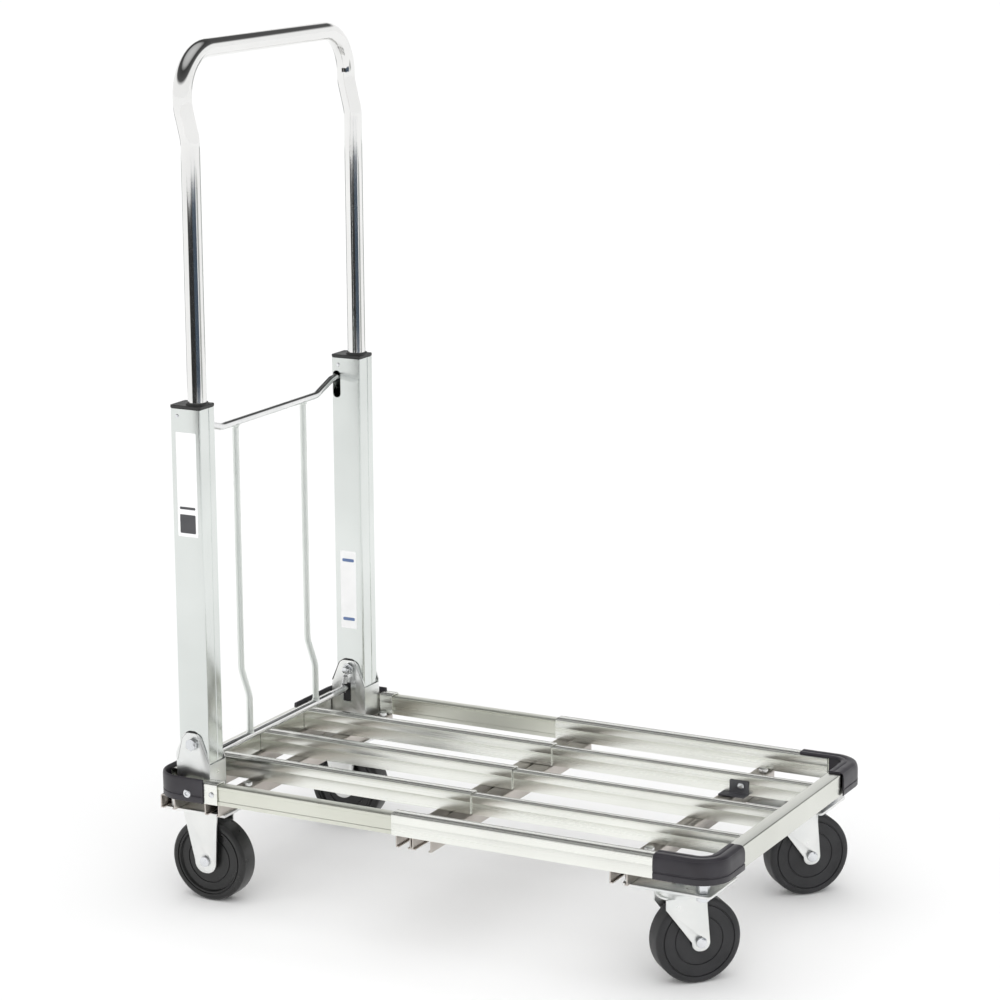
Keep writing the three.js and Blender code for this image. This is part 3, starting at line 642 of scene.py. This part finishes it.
def plug_rivet(name, centre, axis, radius):
    """A blind rivet: a low domed ring round a recessed stem."""
    profile = [
        (0.0, -0.6), (radius, -0.6), (radius, 0.3), (0.86 * radius, 0.9), (0.62 * radius, 1.25),
        (0.46 * radius, 1.1), (0.4 * radius, 0.2), (0.3 * radius, 0.0), (0.0, 0.15),
    ]
    return lathe(name, bolt_zinc, profile, centre, axis, 32)


for side, sign in SIDES:
    front = front_bumper(f"bumper_front_{side}", sign)
    finish_piece(front, "front_frame", "bumper_plastic", f"corner_bumper_front_{side}")
    rear = rear_bumper(f"bumper_rear_{side}", sign)
    finish_piece(rear, "rear_frame", "bumper_plastic", f"corner_bumper_rear_{side}")
    rivet_at = (BUMPER_RIVET["x"], sign * (BUMPER["out"] - BUMPER_RIVET["sunk"]), BUMPER_RIVET["z"])
    head = plug_rivet(f"bumper_rivet_{side}", rivet_at, (0, sign, 0), BUMPER_RIVET["radius"])
    finish_piece(head, "rear_frame", "fastener_zinc")


# ---- Posts, caps and handle --------------------------------------------------------------------

def post_mesh(name, sign):
    """Box extrusion with a fine groove up its front face and a slot for the rod in its inner wall."""
    x0, x1 = POST["x0"], POST["x1"]
    y0, y1 = POST["in"], POST["out"]
    wall = POST["wall"]
    groove = POST_Y + sign * POST_GROOVE["offset"]
    floor_x = x1 - POST_GROOVE["depth"]
    outer = rounded([
        (x0, y0, 2.2), (x1, y0, 2.2),
        (x1, groove - POST_GROOVE["half"]), (floor_x, groove - POST_GROOVE["floor_half"]),
        (floor_x, groove + POST_GROOVE["floor_half"]), (x1, groove + POST_GROOVE["half"]),
        (x1, y1, 2.2), (x0, y1, 2.2),
    ], 5)
    inner = rounded([
        (x0 + wall, y0 + wall, 0.8), (x1 - wall, y0 + wall, 0.8),
        (x1 - wall, y1 - wall, 0.8), (x0 + wall, y1 - wall, 0.8),
    ], 3)
    outer = [(p.x, sign * p.y) for p in outer]
    inner = [(p.x, sign * p.y) for p in inner]
    body = extrusion(name, post_metal, "z", outer, POST["z0"], POST["z1"], 0)
    bore = extrusion("bore", post_metal, "z", inner, POST["z0"] - 1, POST["z1"] + 1, 0)
    half = POST_SLOT["width"] / 2
    low_x = POST_SLOT["x"] - half
    high_x = POST_SLOT["x"] + half
    bend = half - 0.1
    slot = [
        (low_x, POST_SLOT["z0"], bend), (high_x, POST_SLOT["z0"], bend),
        (high_x, POST_SLOT["z1"], bend), (low_x, POST_SLOT["z1"], bend),
    ]
    near, far = mirrored(sign, POST["in"] - 2, POST["in"] + 4)
    opening = extrusion("opening", post_metal, "y", slot, near, far, 0, 8)
    for tool in (bore, opening):
        cut = body.modifiers.new("cut", "BOOLEAN")
        cut.object = tool
        cut.solver = "EXACT"
        bpy.context.view_layer.objects.active = body
        bpy.ops.object.modifier_apply(modifier=cut.name)
        bpy.data.objects.remove(tool)
    return soften(body, 0, 35)


for side, sign in SIDES:
    post = post_mesh(f"post_tube_{side}", sign)
    finish_piece(post, "posts", "post_metal", f"post_{side}")

    lip = CAP["lip"]
    low_x, high_x = POST["x0"] - lip, POST["x1"] + lip
    low_y, high_y = sign * (POST["in"] - lip), sign * (POST["out"] + lip)
    corners = [(low_x, low_y, 2.8), (high_x, low_y, 2.8), (high_x, high_y, 2.8), (low_x, high_y, 2.8)]
    plate = extrusion(
        f"cap_plate_{side}", cap_plastic, "z", corners, CAP["z0"], CAP["z1"], 0.9, 6, 40)
    bore = TUBE["radius"] + 0.4
    rim = CAP["collar_radius"]
    ring = [
        (bore, CAP["z0"]), (bore, CAP["collar"] - 0.3), (TUBE["radius"] + 0.8, CAP["collar"]),
        (rim - 0.7, CAP["collar"]), (rim, CAP["collar"] - 0.8), (rim, CAP["z0"]),
    ]
    collar = lathe(f"cap_collar_{side}", cap_plastic, ring, (TUBE["x"], sign * POST_Y, 0), (0, 0, 1), 48)
    finish_piece(plate, "posts", "cap_plastic", f"post_cap_{side}")
    finish_piece(collar, "posts", "cap_plastic")
    rivet_at = (POST_RIVET["x"], sign * POST_Y - POST_HALF, POST_RIVET["z"])
    head = rivet(f"post_rivet_{side}", rivet_at, (0, -1, 0), POST_RIVET["radius"], 1.0)
    finish_piece(head, "posts", "fastener_zinc")


def film(name, face_y, level, x_span, z_span, material):
    """A thin sheet with rounded corners, standing a level off a post's face towards -Y."""
    (x0, x1), (z0, z1) = x_span, z_span
    corners = [(x0, z0, 1.2), (x1, z0, 1.2), (x1, z1, 1.2), (x0, z1, 1.2)]
    piece = extrusion(name, material, "y", corners, face_y - level - FILM, face_y - level, 0, 4)
    finish_piece(piece, "posts", "post_metal")


def sticker(name, face_y, sheet, band_material):
    """A plain film on the -Y face of a post, with plain bands over it."""
    film(name, face_y, 0.02, sheet["x"], sheet["z"], white_film)
    x0, x1 = sheet["x"]
    for number, z_span in enumerate(sheet["bands"]):
        film(f"{name}_band_{number}", face_y, 0.16, (x0 + 3, x1 - 3), z_span, band_material)


sticker("sticker_near", -POST["out"], NEAR_STICKER, grey_film)
sticker("sticker_far", POST["in"], FAR_STICKER, blue_film)

grip_z = TUBE["top"] - TUBE["radius"]
leg = [
    (TUBE["x"], -POST_Y, TUBE["z0"]),
    (TUBE["x"], -POST_Y, HANDLE_BEND["start"], HANDLE_BEND["radius"]),
    (TUBE["grip_x"], -POST_Y, HANDLE_BEND["end"], HANDLE_BEND["radius"]),
    (TUBE["grip_x"], -POST_Y, grip_z, HANDLE_BEND["corner"]),
]
far_leg = [(c[0], -c[1], *c[2:]) for c in leg][::-1]
handle = tube("handle_tube", chrome, bent_path(leg + far_leg, 14), TUBE["radius"], 40)
finish_piece(handle, "handle", "handle_chrome", "handle_bar")


# ---- Release frame -----------------------------------------------------------------------------

def cross_rod(name, data):
    """A rod across the cart: straight in the middle, a bend towards each post, then its end."""
    knee_z = data["z"] + data["rise"] * (data["end_z"] - data["z"])
    half = [
        (data["x"], data["bend_y"], data["z"], ROD_BEND["radius"]),
        (data["end_x"], ROD_BEND["knee_y"], knee_z, ROD_BEND["knee_radius"]),
        (data["end_x"], data["reach"], data["end_z"]),
    ]
    other = [(c[0], -c[1], *c[2:]) for c in half][::-1]
    return tube(name, bright_rod, bent_path(other + half), ROD_RADIUS, 28, ROD_BEND["end_round"])


def weld_fillet(x, y, z, way):
    """A small ring where an upright wire meets a cross rod, above it (1) or below it (-1)."""
    profile = [
        (WIRE_RADIUS - 0.5, way * 7.2), (WIRE_RADIUS + 0.4, way * 6.0), (WIRE_RADIUS + 1.0, way * 4.6),
        (WIRE_RADIUS + 1.1, way * 2.6), (WIRE_RADIUS - 0.5, way * 2.2),
    ]
    return lathe("weld", wire_zinc, profile, (x, y, z), (0, 0, 1), 24)


rods = [
    cross_rod("upper_rod", UPPER_ROD),
    cross_rod("lower_rod", LOWER_ROD),
]
for y in (WIRE_Y, -WIRE_Y):
    wire = bent_path([
        (UPPER_ROD["x"], y, UPPER_ROD["z"] - 1),
        (UPPER_ROD["x"], y, WIRE_KINK["top"], WIRE_KINK["radius"]),
        (LOWER_ROD["x"], y, WIRE_KINK["bottom"], WIRE_KINK["radius"]),
        (LOWER_ROD["x"], y, LOWER_ROD["z"] + 1),
    ])
    rods.append(tube("wire", wire_zinc, wire, WIRE_RADIUS, 20))
    rods.append(weld_fillet(UPPER_ROD["x"], y, UPPER_ROD["z"], -1))
    rods.append(weld_fillet(LOWER_ROD["x"], y, LOWER_ROD["z"], 1))
release = merge("release_rods", rods)
finish_piece(release, "release", "rod_zinc", "release_frame")


def arc(centre, radius, start, sweep, steps):
    """Points of an arc in the XZ plane, with its angles in half turns."""
    points = []
    for k in range(steps + 1):
        turn = math.pi * (start + sweep * k / steps)
        points.append(centre + Vector((math.cos(turn), 0, math.sin(turn))) * radius)
    return points


def coil_spring(name, sign):
    """Tension spring: close coils between an eye on the pivot bolt and a hook over the lower rod."""
    y = sign * SPRING_Y
    eye = Vector((PIVOT["x"], y, PIVOT["z"]))
    hook = Vector((LOWER_ROD["end_x"], y, LOWER_ROD["end_z"]))
    top = eye + Vector((-1, 0, -8))
    low = hook + Vector((1.5, 0, 8))
    along = (low - top).normalized()
    first = along.orthogonal().normalized()
    second = along.cross(first)
    per_turn = 14
    steps = SPRING["turns"] * per_turn
    points = arc(eye, SPRING["eye"], 0.5, 1.6, 8)
    for k in range(steps + 1):
        turn = 2 * math.pi * k / per_turn
        out = first * math.cos(turn) + second * math.sin(turn)
        points.append(top.lerp(low, k / steps) + out * SPRING["coil"])
    points += arc(hook, SPRING["hook"], 0.6, 1.1, 6)
    return tube(name, bright_rod, points, SPRING["wire"], 10)


for side, sign in SIDES:
    spring = coil_spring(f"coil_spring_{side}", sign)
    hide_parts(f"release_spring_{side}")
    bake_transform(spring)


# ---- Wheels ------------------------------------------------------------------------------------

def wheel_groove(r, level, depth, width):
    """A shallow ring cut into a wheel's face at radius r."""
    return [
        (r - width, level), (r - 0.5 * width, level - depth),
        (r + 0.5 * width, level - depth), (r + width, level),
    ]


def wheel_profile(web_depth):
    """Half of a wheel's section from the bore over the hub to the tread, then the same mirrored."""
    half = WHEEL["width"] / 2
    hub = WHEEL["hub"] / 2
    bore = WHEEL["bore"]
    radius = WHEEL["radius"]
    bend = WHEEL["tread_round"]
    web = half - web_depth
    edge = [(bore, hub - 0.5), (bore + 0.5, hub), (9, hub), (10, hub - 0.4), (10.6, web + 0.2), (11.5, web)]
    edge += wheel_groove(0.56 * radius, web, 1.0, 0.9)
    edge += [(0.78 * radius - 1.5, web), (0.78 * radius + 0.2, half - 0.5)]
    edge += wheel_groove(0.81 * radius + 1, half - 0.35, 1.3, 1.0)
    edge += [(radius - 6, half - 0.1)]
    for k in range(7):
        turn = math.pi / 2 * k / 6
        edge.append((radius - bend + bend * math.sin(turn), half - bend + (bend - 0.1) * math.cos(turn)))
    return edge + [(r, -a) for r, a in edge[::-1]]


for side, sign in SIDES:
    swivel = Vector((math.cos(REST_SWIVEL), math.sin(REST_SWIVEL), 0))
    axle = Vector((-math.sin(REST_SWIVEL), math.cos(REST_SWIVEL), 0))
    front_at = Vector((SWIVEL_X, sign * CASTER_Y, WHEEL["radius"])) + swivel * TRAIL
    section = wheel_profile(WEB_DEPTH["front"])
    front = lathe(f"front_tyre_{side}", wheel_rubber, section, front_at, axle, 96)
    finish_piece(front, f"front_wheel_{side}", "wheel_rubber", f"wheel_front_{side}")
    rear_at = Vector((REAR_WHEEL_X, sign * CASTER_Y, WHEEL["radius"]))
    section = wheel_profile(WEB_DEPTH["rear"])
    rear = lathe(f"rear_tyre_{side}", rear_rubber, section, rear_at, (0, 1, 0), 96)
    finish_piece(rear, f"rear_wheel_{side}", "wheel_rubber", f"wheel_rear_{side}")


# ---- Pads round the bracket ears, and dark sheets of painted shade behind the bracket slots ----

for side, sign in SIDES:
    for ear, y, path in EAR_PADS:
        corners = [(x, sign * y, z, *bend) for x, z, *bend in path]
        pad = tube(f"ear_pad_{ear}_{side}", cap_plastic, bent_path(corners, 6), EAR_PAD_RADIUS, 10)
        finish_piece(pad, "rear_frame", "cap_plastic")

for side, sign in SIDES:
    x0, x1 = SLOT_SHADE_SHEET["x0"], SLOT_SHADE_SHEET["x1"]
    z0, z1 = SLOT_SHADE_SHEET["z0"], SLOT_SHADE_SHEET["z1"]
    corners = [(x0, z0, 1.5), (x1, z0, 1.5), (x1, z1, 4), (x0, z1, 4)]
    near, far = mirrored(sign, POST["in"] - SLOT_SHADE_SHEET["back"], POST["in"] - SLOT_SHADE_SHEET["gap"])
    # A dark sheet of painted shade behind the slot, where the inside of the post lies in shade
    shade_sheet = extrusion(f"slot_shade_sheet_{side}", cap_plastic, "y", corners, near, far, 0)
    finish_piece(shade_sheet, "rear_frame", "cap_plastic")


# ---- Everything that keeps its CAD shape -------------------------------------------------------

for side, sign in SIDES:
    for node, body in (
        (f"post_bracket_{side}", "rear_frame"),
        (f"caster_fork_rear_{side}", "rear_frame"),
        (f"caster_plate_{side}", "front_frame"),
        (f"caster_kingpin_{side}", "front_frame"),
        (f"caster_fork_front_{side}", f"swivel_{side}"),
    ):
        finish_piece(refined(node, zinc), body, "zinc_sheet", node)
    for node, body in (
        (f"post_pivot_bolt_{side}", "rear_frame"),
        (f"axle_bolt_rear_{side}", "rear_frame"),
        (f"axle_bolt_front_{side}", f"swivel_{side}"),
        (f"caster_spacer_{side}", "front_frame"),
    ):
        finish_piece(refined(node, bolt_zinc), body, "fastener_zinc", node)

# The cross members get the darker zinc, which carries painted shade
for name, body in (
    ("cross_member_rear", "rear_frame"),
    ("cross_member_bracket", "rear_frame"),
    ("cross_member_middle", "rear_frame"),
    ("cross_member_slide", "front_frame"),
    ("cross_member_front", "front_frame"),
):
    finish_piece(refined(name, cross_zinc_painted_shade), body, "zinc_sheet", name)

bracket = refined("slat_angle_bracket", dark_plate)
finish_piece(bracket, "front_frame", "dark_bracket", "slat_angle_bracket")
bracket_face = SLAT_Y["left"] - FRONT_SLAT["width"] / 2 - BRACKET_RIVET["sheet"]
rivet_at = (BRACKET_RIVET["x"], bracket_face - BRACKET_RIVET["gap"], BRACKET_RIVET["z"])
head = rivet("slat_bracket_rivet", rivet_at, (0, -1, 0), BRACKET_RIVET["radius"], 1.4)
finish_piece(head, "front_frame", "fastener_zinc")

# The glides keep their CAD mesh inside the posts
for side, sign in SIDES:
    for material_slot in nodes[f"handle_glide_{side}"].material_slots:
        material_slot.material = cap_plastic


# ---- Floor, light and camera -------------------------------------------------------------------

def stage_quad(name, corners, colour):
    """A flat four-cornered piece of the studio, with its corners in metres."""
    mesh = bpy.data.meshes.new(name)
    mesh.from_pydata(corners, [], [(0, 1, 2, 3)])
    paint = Shader(name + "_paint", Roughness=0.9)
    paint.bsdf.inputs["Base Color"].default_value = (*colour, 1)
    paint.bsdf.inputs["Specular IOR Level"].default_value = 0.0
    quad = place(mesh, name, paint.material)
    return quad


def reflection_card(name, start, end, shade):
    """A standing card that shows only in glossy reflections, where it draws the dark stripes."""
    (x0, y0), (x1, y1) = start, end
    corners = [(x0, y0, CARD_FOOT), (x1, y1, CARD_FOOT), (x1, y1, CARD_HEIGHT), (x0, y0, CARD_HEIGHT)]
    card = stage_quad(name, corners, (0, 0, 0))
    bsdf = card.data.materials[0].node_tree.nodes["Principled BSDF"]
    bsdf.inputs["Emission Color"].default_value = (*shade, 1)
    bsdf.inputs["Emission Strength"].default_value = 1.0
    card.visible_camera = False
    card.visible_diffuse = False
    card.visible_shadow = False
    card.visible_transmission = False


floor_corners = [
    (-FLOOR_REACH, -FLOOR_REACH, FLOOR_Z),
    (FLOOR_REACH, -FLOOR_REACH, FLOOR_Z),
    (FLOOR_REACH, FLOOR_REACH, FLOOR_Z),
    (-FLOOR_REACH, FLOOR_REACH, FLOOR_Z),
]
stage_quad("floor", floor_corners, FLOOR_COLOUR)

# name, two ends on the floor, brightness
for card in (
    ("card_front", (-1.55, -2.75), (1.45, -2.75), (0.035, 0.035, 0.035)),
    ("card_front_right", (1.45, -2.75), (3.0, -0.75), (0.07, 0.095, 0.13)),
    ("card_right", (3.0, -0.3), (2.6, 0.9), (0.45, 0.46, 0.45)),
    ("card_far_right", (1.15, 3.4), (-0.45, 3.5), (0.40, 0.41, 0.41)),
    ("card_far_left", (-3.3, 1.1), (-2.6, 2.4), (0.36, 0.37, 0.37)),
):
    reflection_card(*card)


def sun(name, towards, strength, spread):
    """Even light from one side of the studio. It shades surfaces and stays out of reflections."""
    lamp = bpy.data.lights.new(name, "SUN")
    lamp.energy = strength
    lamp.angle = math.radians(spread)
    holder = bpy.data.objects.new(name, lamp)
    holder.rotation_euler = Vector(towards).to_track_quat("-Z", "Y").to_euler()
    holder.visible_glossy = False
    bpy.context.scene.collection.objects.link(holder)


sun("overhead", (-0.1, 0.25, -1.0), 2.3, 110)
sun("front", (-0.5, 0.9, -0.5), 0.8, 60)


def studio_world():
    """Bright all round up to 20 degrees, a dark ceiling above that, and a softer light overhead."""
    world = bpy.data.worlds.new("studio")
    bpy.context.scene.world = world
    world.use_nodes = True
    tree = world.node_tree
    where = tree.nodes.new("ShaderNodeTexCoord")
    split = tree.nodes.new("ShaderNodeSeparateXYZ")
    ramp = tree.nodes.new("ShaderNodeValToRGB")
    stops = ramp.color_ramp.elements
    stops[0].color = (1, 1, 1, 1)
    stops[1].color = (1, 1, 1, 1)
    stops[1].position = WORLD_BRIGHT_TO
    for at, shade in WORLD_CEILING:
        stop = stops.new(at)
        stop.color = (shade, shade, shade, 1)
    tree.links.new(where.outputs["Generated"], split.inputs["Vector"])
    tree.links.new(split.outputs["Z"], ramp.inputs["Fac"])
    tree.links.new(ramp.outputs["Color"], tree.nodes["Background"].inputs["Color"])


studio_world()

forward = Vector(CAMERA_FORWARD).normalized()
right = Vector(CAMERA_RIGHT).normalized()
up = right.cross(forward)
lens = bpy.data.cameras.new("camera")
lens.lens = CAMERA_LENS
lens.sensor_width = 36
lens.clip_end = 50
camera = bpy.data.objects.new("camera", lens)
axes = Matrix((right, up, -forward)).transposed().to_4x4()
camera.matrix_world = Matrix.Translation(Vector(CAMERA_AT) * MM) @ axes
bpy.context.scene.collection.objects.link(camera)
bpy.context.scene.camera = camera
bpy.context.scene.view_settings.view_transform = "Standard"
